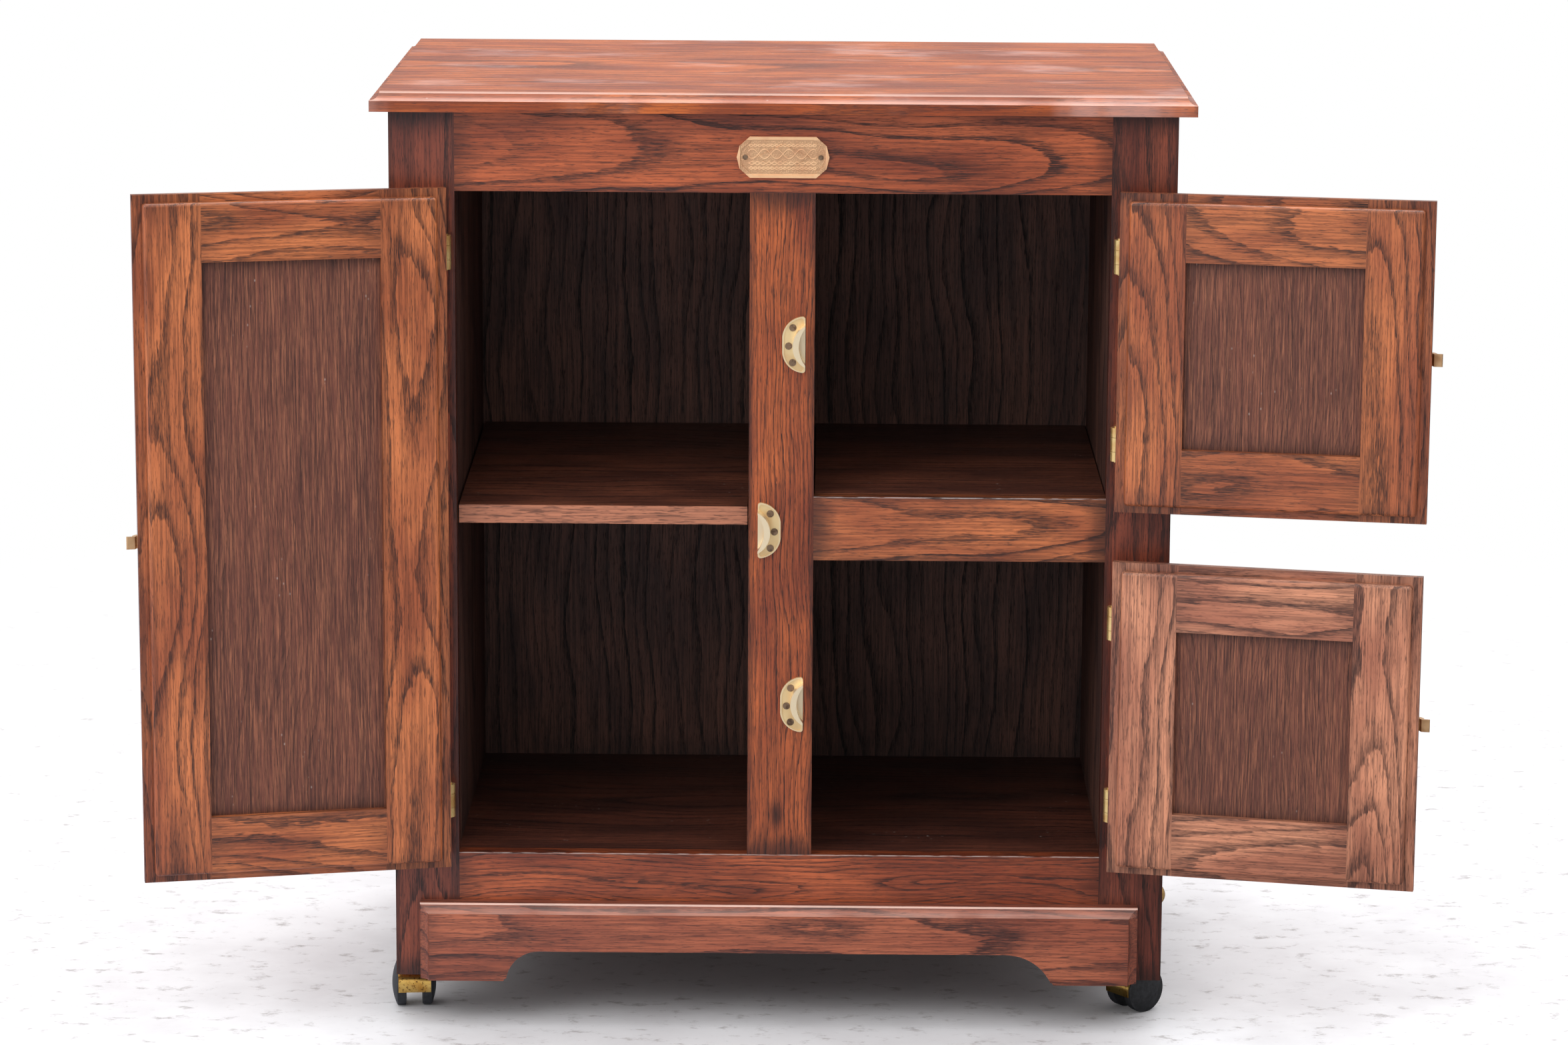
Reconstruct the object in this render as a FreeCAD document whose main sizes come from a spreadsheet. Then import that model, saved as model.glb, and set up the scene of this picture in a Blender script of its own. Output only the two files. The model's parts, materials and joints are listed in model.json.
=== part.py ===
import FreeCAD, Part
import math
import os
import re
import Sketcher
from FreeCAD import Vector

# Oak icebox on casters: a face-framed cabinet with insulated walls, one tall door on the
# left, two short doors on the right, lever latches, and twin-wheel casters under the posts.
# Millimetres. The doors stand open and the front casters are turned, as in use.
# Cabinet frame: x from the middle, y back from the face of the front frame, z up from the floor.

SIZES = {
    # carcase
    "body_width": 840, "body_depth": 530, "caster_height": 52, "body_height": 955,
    "stile_width": 70, "frame_thick": 20, "side_thick": 25,
    "opening_low": 139.7, "opening_high": 868.8, "middle_low": 469.6, "middle_high": 539.2,
    "bottom_rail_low": 42, "side_rail_width": 80, "side_rail_low": 40,
    "rear_post_depth": 70, "panel_thick": 6, "board_thick": 20,
    # top board with its moulded edge
    "top_width": 877, "top_front": 20, "top_back": 5, "top_edge": 11.7, "top_thick": 21,
    "moulding_width": 10.5, "moulding_round": 10.5, "moulding_step": 1.2,
    # plinth board with bracket feet
    "plinth_half": 392.6, "plinth_high": 86, "plinth_thick": 22.5, "cove_width": 9,
    "cove_high": 10.2, "cove_round": 12.5, "cove_step": 0.8, "arch_high": 34, "foot_inner": 298, "arch_left": 262,
    "arch_right": 249, "foot_tip": 3,
    # insulated compartments
    "lining_thick": 12, "lining_gap": 1.5, "inner_depth": 443, "insulation_thick": 40,
    "shelf_front": 12.5, "shelf_thick": 20, "shelf_level": 525.5, "shelf_tilt": 1.9, "pin_radius": 3,
    "cleat_size": 18,
    # doors: a lipped edge outside, a raised inner part that enters the opening
    "lip_side": 9.5, "lip_hinge_side": 7.6, "lip_end": 7.5, "lip_thick": 10, "raised_thick": 10, "raised_side": 10.7,
    "raised_end": 8.6, "raised_round": 4, "lip_round": 1.5, "member": 71.5, "panel_recess": 8,
    "groove_depth": 8, "left_open": 167, "upper_right_open": 170.4, "lower_right_open": 167.9,
    # hinges: barrel in front of the lip
    "hinge_x": 358.8, "hinge_out": 16.5, "hinge_inset": 71, "barrel_radius": 6,
    "pin_bore": 2.55, "hinge_pin_radius": 2.5, "knuckle_mid": 15, "knuckle_end": 10.3,
    "knuckle_gap": 0.4, "leaf_thick": 2, "leaf_width": 22, "riser_clear": 0.6,
    # lever latches and their keepers
    "latch_base_width": 24, "latch_base_half": 32, "latch_base_thick": 2.5, "latch_pin_in": 5.5,
    "latch_pin_out": 12, "latch_pin_radius": 2, "latch_pin_bore": 2.05, "boss_radius": 4.5,
    "tongue_half": 6.8, "tongue_reach": 16.5, "tongue_front": 5.5, "tongue_back": 8,
    "handle_length": 62, "lug_thick": 3, "lug_gap": 0.4,
    "left_latch": 502.5, "upper_right_latch": 705.8, "lower_right_latch": 312.5,
    "keeper_width": 25, "keeper_half": 30.5, "keeper_plate": 2.5, "keeper_rim": 1.8,
    "keeper_rim_out": 1.2, "keeper_round": 24, "keeper_flat": 9, "keeper_corner": 3,
    "hood_half_high": 22.5, "hood_deep": 13.6, "hood_out": 19.5, "mouth_half_high": 20,
    "mouth_deep": 6.9, "hood_lip": 2.5, "pocket_deep": 11.8, "pocket_floor": 5,
    "lower_keeper_drop": 3, "screw_radius": 3.9, "screw_out": 0.8,
    # label plate and side fitting
    "plate_half": 49.3, "plate_high": 44, "plate_level": 907.3, "plate_cut": 14, "plate_thick": 1.8,
    "rim_width": 3, "rim_out": 1, "badge_half": 14, "cap_radius": 11, "cap_out": 7,
    "cap_back": 50, "cap_level": 84,
    # casters
    "caster_x": 407.5, "caster_front": 76, "caster_rear": 480, "trail": 14, "wheel_radius": 25,
    "wheel_inner": 9, "wheel_outer": 24.4, "tread_outer": 19.5, "axle_radius": 4,
    "wheel_bore": 4.05, "axle_half": 20, "hood_gap": 0.6, "hood_thick": 1.1, "hood_half": 18,
    "hood_sweep": 140, "web_half": 6, "stem_radius": 5.5, "socket_bore": 5.55,
    "socket_radius": 7.5, "stem_long": 34, "left_front_turn": 6, "right_front_turn": -51.5,
    "left_rear_turn": 38, "right_rear_turn": 160,
    # middle of the open icebox's footprint, in the cabinet frame
    "centre_x": 2.025, "centre_y": 210.454,
}

doc = FreeCAD.newDocument("icebox")
dims = doc.addObject("Spreadsheet::Sheet", "dims")
for row, (alias, number) in enumerate(SIZES.items(), start=1):
    dims.set(f"A{row}", alias)
    dims.set(f"B{row}", str(number))
    dims.setAlias(f"B{row}", alias)
doc.recompute()

nodes = {}


def expression(text):
    """The text with every sheet alias written as a reference to the sheet."""
    return re.sub(r"[a-z_]+", lambda word: f"dims.{word[0]}" if word[0] in SIZES else word[0], str(text))


def value(text):
    """The number an expression stands for."""
    return float(dims.evalExpression(expression(text)))


def bind(thing, **texts):
    """Binds properties of an object to expressions; __ in a name stands for a dot."""
    for name, text in texts.items():
        thing.setExpression(name.replace("__", "."), expression(text))


def between(limits, side=1):
    """Low end and length of a span; side -1 mirrors it about zero."""
    low, high = limits
    start = f"({low})" if side > 0 else f"-({high})"
    return start, f"({high}) - ({low})"


def box(name, x, y, z, side=1):
    """A box between limits along each axis."""
    block = doc.addObject("Part::Box", name)
    for axis, prop, limits in (("x", "Length", x), ("y", "Width", y), ("z", "Height", z)):
        start, length = between(limits, side if axis == "x" else 1)
        bind(block, **{prop: length, f"Placement__Base__{axis}": start})
    return block


TURNS = {"x": FreeCAD.Rotation(Vector(0, 1, 0), 90), "y": FreeCAD.Rotation(Vector(1, 0, 0), -90),
         "z": FreeCAD.Rotation()}


def rod(name, radius, length, start, along="z", sweep=None, start_angle=0):
    """A cylinder from its start point along +x, +y or +z; sweep makes it a sector."""
    round_bar = doc.addObject("Part::Cylinder", name)
    turn = TURNS[along].multiply(FreeCAD.Rotation(Vector(0, 0, 1), start_angle))
    round_bar.Placement = FreeCAD.Placement(Vector(), turn)
    bind(round_bar, Radius=radius, Height=length)
    bind(round_bar, **{f"Placement__Base__{axis}": text for axis, text in zip("xyz", start)})
    if sweep:
        bind(round_bar, Angle=sweep)
    return round_bar


def fuse(name, *pieces):
    whole = doc.addObject("Part::MultiFuse", name)
    whole.Shapes = list(pieces)
    return whole


def cut(name, base, *tools):
    rest = doc.addObject("Part::Cut", name)
    rest.Base = base
    rest.Tool = tools[0] if len(tools) == 1 else group(name + "_tools", *tools)
    return rest


def common(name, first, second):
    shared = doc.addObject("Part::Common", name)
    shared.Base = first
    shared.Tool = second
    return shared


def group(name, *pieces):
    """Separate solids side by side."""
    bundle = doc.addObject("Part::Compound", name)
    bundle.Links = list(pieces)
    return bundle


def rounded(name, base, radius, wanted):
    """Rounds the edges of the base for which wanted(edge) holds."""
    doc.recompute()
    smooth = doc.addObject("Part::Fillet", name)
    smooth.Base = base
    size = value(radius)
    chosen = [i for i, edge in enumerate(base.Shape.Edges, start=1) if wanted(edge)]
    smooth.Edges = [(i, size, size) for i in chosen]
    return smooth


def in_plane(axis, level):
    """Test for edges that lie in the plane axis = level."""
    return lambda edge: all(abs(getattr(v.Point, axis) - level) < 1e-4 for v in edge.Vertexes)


def along_axis(axis):
    """Test for straight edges along an axis."""
    def test(edge):
        step = edge.Vertexes[-1].Point - edge.Vertexes[0].Point
        return step.Length > 1e-6 and abs(abs(getattr(step, axis)) - step.Length) < 1e-6
    return test


FRAMES = {"cabinet": ("0", "0", "0"),
          "left_door": ("-hinge_x", "-hinge_out", "-left_open"),
          "upper_right_door": ("hinge_x", "-hinge_out", "upper_right_open"),
          "lower_right_door": ("hinge_x", "-hinge_out", "lower_right_open"),
          "left_front_caster": ("-caster_x", "caster_front", "left_front_turn"),
          "right_front_caster": ("caster_x", "caster_front", "right_front_turn"),
          "left_rear_caster": ("-caster_x", "caster_rear", "left_rear_turn"),
          "right_rear_caster": ("caster_x", "caster_rear", "right_rear_turn")}


def node(label, piece, frame="cabinet"):
    """Makes a piece a sub-part: its label, and its place in the cabinet, a door or a caster."""
    if piece.ExpressionEngine:
        piece = group(label, piece)
    piece.Label = label
    x, y, turn = FRAMES[frame]
    piece.Placement = FreeCAD.Placement(Vector(), FreeCAD.Rotation(Vector(0, 0, 1), 1))
    bind(piece, Placement__Base__x=f"{x} - centre_x", Placement__Base__y=f"{y} - centre_y",
         Placement__Rotation__Angle=turn)
    nodes[label] = piece
    return piece


def plane_of(body, role):
    return next(item for item in body.Origin.OriginFeatures if item.Role == role)


def outline(body, role, points, arcs=None, shift=()):
    """A closed sketch through points given as expressions. arcs gives, for the segment that
    starts at a point, a radius and whether the arc runs anticlockwise."""
    arcs = arcs or {}
    sketch = body.newObject("Sketcher::SketchObject", body.Name + "_outline")
    sketch.AttachmentSupport = [(plane_of(body, role), "")]
    sketch.MapMode = "FlatFace"
    bind(sketch, **{f"AttachmentOffset__Base__{axis}": text for axis, text in shift})
    spots = [Vector(value(x), value(y), 0) for x, y in points]
    first = {}
    for i, start in enumerate(spots):
        end = spots[(i + 1) % len(spots)]
        first[i] = 1
        if i not in arcs:
            sketch.addGeometry(Part.LineSegment(start, end), False)
            continue
        radius, anticlockwise = arcs[i]
        size = value(radius)
        if not anticlockwise:
            start, end = end, start
            first[i] = 2
        chord = end - start
        rise = math.sqrt(max(size ** 2 - (chord.Length / 2) ** 2, 0))
        left = Vector(-chord.y, chord.x, 0).normalize()
        centre = (start + end) * 0.5 + left * rise
        angles = [math.atan2(spot.y - centre.y, spot.x - centre.x) for spot in (start, end)]
        circle = Part.Circle(centre, Vector(0, 0, 1), size)
        sketch.addGeometry(Part.ArcOfCircle(circle, *angles), False)
    for i, (x, y) in enumerate(points):
        before = (i - 1) % len(points)
        sketch.addConstraint(Sketcher.Constraint("Coincident", before, 3 - first[before], i, first[i]))
        for kind, text in (("DistanceX", x), ("DistanceY", y)):
            index = sketch.addConstraint(Sketcher.Constraint(kind, -1, 1, i, first[i], value(text)))
            sketch.setExpression(f"Constraints[{index}]", expression(text))
    for i, (radius, _) in arcs.items():
        index = sketch.addConstraint(Sketcher.Constraint("Radius", i, value(radius)))
        sketch.setExpression(f"Constraints[{index}]", expression(radius))
    return sketch


def padded(name, role, points, length, arcs=None, backwards=False, midplane=False, shift=()):
    """A body padded from one outline."""
    body = doc.addObject("PartDesign::Body", name)
    sketch = outline(body, role, points, arcs, shift)
    pad = body.newObject("PartDesign::Pad", name + "_pad")
    pad.Profile = sketch
    bind(pad, Length=length)
    pad.Reversed = backwards
    pad.Midplane = midplane
    return body


def turned(name, role, points, arcs=None, shift=(), axis="H_Axis"):
    """A body of revolution about an axis of its sketch."""
    body = doc.addObject("PartDesign::Body", name)
    sketch = outline(body, role, points, arcs, shift)
    spin = body.newObject("PartDesign::Revolution", name + "_turned")
    spin.Profile = sketch
    spin.ReferenceAxis = (sketch, [axis])
    spin.Angle = 360
    return body


def floor(text):
    """A height above the floor for a level counted from the bottom of the posts."""
    return f"caster_height + ({text})"


# ---- mouldings -----------------------------------------------------------------------------

def cove(name, role, width, height, step, radius, reach, corner, flip, across=0):
    """Cutter for a moulded arris: a small step and, below it, a hollow out to the edge.
    corner is the arris; flip gives the directions into the board along the sketch's axes;
    across is the axis that the width is measured along."""

    def spot(inward, down):
        runs = (inward, down) if across == 0 else (down, inward)
        return tuple(f"{place} + {way} * ({run})" for place, way, run in zip(corner, flip, runs))

    points = [spot(f"-{width}", f"-{height}"), spot(width, f"-{height}"), spot(width, step),
              spot("0", height), spot(f"-{width}", height)]
    anticlockwise = (flip[0] * flip[1] > 0) == (across == 0)
    return padded(name, role, points, reach, {2: (radius, anticlockwise)}, midplane=True)


# ---- carcase -------------------------------------------------------------------------------

half = "body_width / 2"
inner_half = "body_width / 2 - stile_width"
lining_face = f"({inner_half} + lining_gap)"
low, high = floor("0"), floor("body_height")

board = box("top_blank", ("-top_width / 2", "top_width / 2"), ("-top_front", "body_depth + top_back"),
            (high, f"{high} + top_thick"))
edge_drop = "(top_thick - top_edge)"
top_z = f"{high} + top_thick"
top_cove = ("moulding_width", edge_drop, "moulding_step", "moulding_round")
cutters = [cove("top_front_cutter", "YZ_Plane", *top_cove, "top_width * 1.2",
                ("-top_front", top_z), (1, -1))]
for side, name in ((-1, "left"), (1, "right")):
    cutters.append(cove(f"top_{name}_cutter", "XZ_Plane", *top_cove, "body_depth * 3",
                        (f"{side} * top_width / 2", top_z), (-side, -1)))
node("top_board", cut("top_moulded", board, *cutters))

for side, name in ((-1, "left"), (1, "right")):
    stile = padded(f"{name}_front_stile", "XY_Plane",
                   [(f"{side} * ({inner_half})", "0"), (f"{side} * {half}", "0"),
                    (f"{side} * {half}", "frame_thick"), (f"{side} * ({inner_half})", "frame_thick")],
                   "body_height", shift=(("z", low),))
    node(f"{name}_front_stile", stile)

frame_y = ("0", "frame_thick")
node("centre_stile", box("centre_bar", ("-stile_width / 2", "stile_width / 2"), frame_y,
                         (floor("opening_low"), floor("opening_high"))))
node("top_rail", box("top_bar", (f"-({inner_half})", inner_half), frame_y,
                     (floor("opening_high"), high)))
node("bottom_rail", box("bottom_bar", (f"-({inner_half})", inner_half), frame_y,
                        (floor("bottom_rail_low"), floor("opening_low"))))
node("mid_rail", box("mid_bar", ("stile_width / 2", inner_half), frame_y,
                     (floor("middle_low"), floor("middle_high"))))

# The plinth's arch: each foot has a small rounded tip, then one arc up to the flat.
foot_z, arch_z = floor("0"), floor("arch_high")
arch_radius = {end: f"(({run}) ^ 2 + (arch_high - foot_tip) ^ 2) / 2 / (arch_high - foot_tip)"
               for end, run in (("left", "foot_inner - arch_left"), ("right", "foot_inner - arch_right"))}
plinth = padded("plinth_board", "XZ_Plane",
                [("-plinth_half", foot_z), ("-foot_inner - foot_tip", foot_z),
                 ("-foot_inner", f"{foot_z} + foot_tip"), ("-arch_left", arch_z),
                 ("arch_right", arch_z), ("foot_inner", f"{foot_z} + foot_tip"),
                 ("foot_inner + foot_tip", foot_z), ("plinth_half", foot_z),
                 ("plinth_half", floor("plinth_high")), ("-plinth_half", floor("plinth_high"))],
                "plinth_thick",
                {1: ("foot_tip", False), 2: (arch_radius["left"], False),
                 4: (arch_radius["right"], False), 5: ("foot_tip", False)})
plinth_cove = ("cove_width", "cove_high", "cove_step", "cove_round")
plinth_cutters = [cove("plinth_top_cutter", "YZ_Plane", *plinth_cove, "top_width * 1.2",
                       ("-plinth_thick", floor("plinth_high")), (1, -1))]
for side, name in ((-1, "left"), (1, "right")):
    plinth_cutters.append(cove(f"plinth_{name}_cutter", "XY_Plane", *plinth_cove, "plinth_high * 6",
                               (f"{side} * plinth_half", "-plinth_thick"), (-side, 1), across=1))
node("plinth", cut("plinth_moulded", plinth, *plinth_cutters))

# Sides: posts and rails around a thin panel, with a socket in each post for a caster.
post_y = {"front": ("frame_thick", "frame_thick + stile_width"),
          "rear": ("body_depth - rear_post_depth", "body_depth")}
caster_y = {"front": "caster_front", "rear": "caster_rear"}
sockets, side_sheets = [], []
for side, name in ((-1, "left"), (1, "right")):
    across = (f"{half} - side_thick", half)
    posts = []
    for end in ("front", "rear"):
        post = box(f"{name}_{end}_post", across, post_y[end], (low, high), side)
        place = (f"{side} * caster_x", caster_y[end], low)
        hole = rod(f"{name}_{end}_hole", "socket_radius", "stem_long + 2", place)
        posts.append(cut(f"{name}_{end}_bored_post", post, hole))
        tube = rod(f"{name}_{end}_tube", "socket_radius", "stem_long + 2", place)
        bore = rod(f"{name}_{end}_bore", "socket_bore", "stem_long + 2", place)
        sockets.append(cut(f"{name}_{end}_socket", tube, bore))
    rails = [box(f"{name}_{level}_side_rail", across, (post_y["front"][1], post_y["rear"][0]), span, side)
             for level, span in (("low", (floor("side_rail_low"), floor("side_rail_low + side_rail_width"))),
                                 ("high", (f"{high} - side_rail_width", high)))]
    node(f"{name}_side_frame", group(f"{name}_side_pieces", *posts, *rails))
    side_sheets.append(box(f"{name}_side_sheet", (f"{half} - side_thick + 4", f"{half} - side_thick + 4 + panel_thick"),
                (post_y["front"][1], post_y["rear"][0]),
                (floor("side_rail_low + side_rail_width"), f"{high} - side_rail_width"), side))
node("side_panels", group("side_sheet_pair", *side_sheets))
node("caster_sockets", group("socket_tubes", *sockets))

rear_x = f"{half} - side_thick"
rear_low = floor("side_rail_low")
rear_rails = [box(f"rear_{level}_rail", (f"-({rear_x})", rear_x), ("body_depth - frame_thick", "body_depth"), span)
              for level, span in (("low", (rear_low, f"{rear_low} + side_rail_width")),
                                  ("high", (f"{high} - side_rail_width", high)))]
node("rear_rails", group("rear_rail_pair", *rear_rails))
node("rear_panel", box("rear_sheet", (f"-({rear_x})", rear_x),
                       ("body_depth - frame_thick + 4", "body_depth - frame_thick + 4 + panel_thick"),
                       (f"{rear_low} + side_rail_width", f"{high} - side_rail_width")))

# ---- insulated compartments ----------------------------------------------------------------

inner_y = ("frame_thick", "inner_depth")
inner_z = (floor("opening_low"), high)
linings = [box(f"{name}_lining_board", (lining_face, f"{lining_face} + lining_thick"),
               ("frame_thick", "inner_depth + lining_thick"), inner_z, side)
           for side, name in ((-1, "left"), (1, "right"))]
node("back_lining", box("back_board", (f"-{lining_face}", lining_face),
                        ("inner_depth", "inner_depth + lining_thick"), inner_z))
linings += [box(f"partition_{name}_board", ("stile_width / 2 - lining_thick", "stile_width / 2"),
                 inner_y, inner_z, side) for side, name in ((-1, "left"), (1, "right"))]
node("wall_linings", group("lining_set", *linings))
node("floor_board", box("floor_sheet", (f"-{lining_face} - lining_thick", f"{lining_face} + lining_thick"),
                        ("frame_thick", "inner_depth + lining_thick"),
                        (floor("opening_low - board_thick"), floor("opening_low"))))
outer_gap = f"{lining_face} + lining_thick"
slabs = [box(f"{name}_slab", (outer_gap, f"{half} - side_thick"), ("frame_thick", "inner_depth + lining_thick"),
             inner_z, side) for side, name in ((-1, "left"), (1, "right"))]
slabs.append(box("back_slab", (f"-({outer_gap})", outer_gap),
                 ("inner_depth + lining_thick", "inner_depth + lining_thick + insulation_thick"), inner_z))
node("insulation", group("insulation_slabs", *slabs))

# The left shelf sits on four pins, the front pair lower, so that it leans towards the door.
left_shelf = box("left_shelf_board", (f"-({inner_half}) + lining_gap", "-stile_width / 2 - lining_gap"),
                 ("0", "inner_depth - shelf_front - 6"), ("-shelf_thick", "0"))
left_shelf_tilted = group("left_shelf_tilted", left_shelf)
left_shelf_tilted.Placement = FreeCAD.Placement(Vector(), FreeCAD.Rotation(Vector(1, 0, 0), 1))
bind(left_shelf_tilted, Placement__Base__y="shelf_front", Placement__Base__z=floor("shelf_level"),
     Placement__Rotation__Angle="shelf_tilt")
node("left_shelf", left_shelf_tilted)
node("right_shelf", box("right_shelf_board", ("stile_width / 2 + lining_gap", f"{inner_half} - 0"),
                        inner_y, (floor("middle_high - board_thick"), floor("middle_high"))))
supports = []
for depth_name, depth in (("front", 60), ("rear", 360)):
    under = f"shelf_level - shelf_thick / cos(shelf_tilt * 1 deg) + {depth} * tan(shelf_tilt * 1 deg) - pin_radius"
    slack = "pin_radius * (1 / cos(shelf_tilt * 1 deg) - 1) + 0.05"
    for wall, start in (("left", f"-{lining_face}"), ("centre", "-stile_width / 2 - 12")):
        supports.append(rod(f"shelf_pin_{depth_name}_{wall}", "pin_radius", "12",
                            (start, f"shelf_front + {depth}", floor(f"{under} - ({slack})")), "x"))
for wall, x in (("centre", ("stile_width / 2", "stile_width / 2 + cleat_size")),
                ("right", (f"{inner_half} - cleat_size", lining_face))):
    supports.append(box(f"shelf_cleat_{wall}", x, inner_y,
                        (floor("middle_high - board_thick - cleat_size"), floor("middle_high - board_thick"))))
node("shelf_supports", group("shelf_support_set", *supports))

# ---- doors ---------------------------------------------------------------------------------
# In a door's own frame the hinge axis is x = 0, y = 0; u runs from the axis to the free edge.

DOORS = {"left": (1, "opening_low", "opening_high", "stile_width / 2"),
         "upper_right": (-1, "middle_high", "opening_high", "stile_width / 2"),
         "lower_right": (-1, "opening_low", "middle_low", "stile_width / 2")}
lip_back = "hinge_out"
lip_front = "(hinge_out - lip_thick)"
raised_back = "(hinge_out + raised_thick)"
u_low = f"(hinge_x - ({inner_half}) - lip_hinge_side)"
u_high = "(hinge_x - stile_width / 2 + lip_side)"
knuckle_half = "(knuckle_mid / 2 + knuckle_gap + knuckle_end)"
pin_u = f"({u_high} - latch_pin_in)"
pin_y = f"({lip_front} - latch_pin_out)"


def screw_heads(name, spots, radius="screw_radius", out="screw_out"):
    """Slotted heads facing -y; each spot is the head's middle on the surface."""
    heads = []
    for i, (x, y, z) in enumerate(spots):
        head = rod(f"{name}_head_{i}", radius, out, (x, f"{y} - {out}", z), "y")
        slot = box(f"{name}_slot_{i}", (f"{x} - {radius} * 1.2", f"{x} + {radius} * 1.2"),
                   (f"{y} - {out} * 1.5", f"{y} - {out} * 0.5"),
                   (f"{z} - {radius} * 0.12", f"{z} + {radius} * 0.12"))
        heads.append(cut(f"{name}_screw_{i}", head, slot))
    return heads


def door_leaf(name, side, level):
    """The door's half of a hinge: a plate on the outer face and the middle knuckle."""
    plate = box(name + "_plate", ("7", "leaf_width + 7"), (f"{lip_front} - leaf_thick", lip_front),
                (f"{level} - {knuckle_half}", f"{level} + {knuckle_half}"), side)
    bridge = box(name + "_bridge", ("0", "8"), (f"{lip_front} - leaf_thick", f"{lip_front} - 0.4"),
                 (f"{level} - knuckle_mid / 2", f"{level} + knuckle_mid / 2"), side)
    knuckle = rod(name + "_knuckle", "barrel_radius", "knuckle_mid", ("0", "0", f"{level} - knuckle_mid / 2"))
    bore = rod(name + "_bore", "pin_bore", "knuckle_mid", ("0", "0", f"{level} - knuckle_mid / 2"))
    return cut(name, fuse(name + "_solid", plate, bridge, knuckle), bore)


def frame_leaf(name, side, level):
    """The cabinet's half: a plate on the stile, a riser past the lip, and two knuckles."""
    low_end, high_end = f"{level} - {knuckle_half}", f"{level} + {knuckle_half}"
    riser_u = f"{u_low} - riser_clear"
    plate = box(name + "_plate", (f"{riser_u} - leaf_width", riser_u),
                ("hinge_out - leaf_thick", "hinge_out"), (low_end, high_end), side)
    pieces = [plate]
    for end, start in (("low", low_end), ("high", f"{level} + knuckle_mid / 2 + knuckle_gap")):
        stop = f"({start}) + knuckle_end"
        pieces.append(box(f"{name}_{end}_riser", (f"{riser_u} - leaf_thick", riser_u), ("0", "hinge_out"),
                          (start, stop), side))
        pieces.append(rod(f"{name}_{end}_knuckle", "barrel_radius", "knuckle_end", ("0", "0", start)))
    bore = rod(name + "_bore", "pin_bore", f"2 * {knuckle_half}", ("0", "0", low_end))
    leaf = cut(name, fuse(name + "_solid", *pieces), bore)
    leaf.Placement = FreeCAD.Placement()
    bind(leaf, Placement__Base__x=f"{-side} * hinge_x", Placement__Base__y="-hinge_out")
    return leaf


def latch_lever(name, side, level):
    """Lever seen from above, the pin at 0, 0: a grip, a boss, an arm past the lip and a tongue."""
    outer = [("-handle_length", "-8.5"), ("-handle_length + 8", "-10.5"), ("-18", "-5"),
             ("0", "-boss_radius"), ("6", "-3"), ("9.5", "1.5"), ("10.5", "tongue_front"),
             ("tongue_reach - 1", "tongue_front")]
    inner = [("tongue_reach", "tongue_front + 1"), ("tongue_reach", "tongue_back - 1"),
             ("tongue_reach - 1", "tongue_back"), ("7.5", "tongue_back"), ("5", "3"),
             ("0", "boss_radius"), ("-18", "0"), ("-handle_length + 8", "-5.5"), ("-handle_length", "-5.5")]
    points = [(f"{side} * ({pin_u} + ({u}))", f"{pin_y} + ({y})") for u, y in outer + inner]
    arcs = {7: ("1", side > 0), 9: ("1", side > 0), 16: ("2", side > 0)}
    return padded(name, "XY_Plane", points, "2 * tongue_half", arcs, shift=(("z", f"{level} - tongue_half"),))


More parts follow.
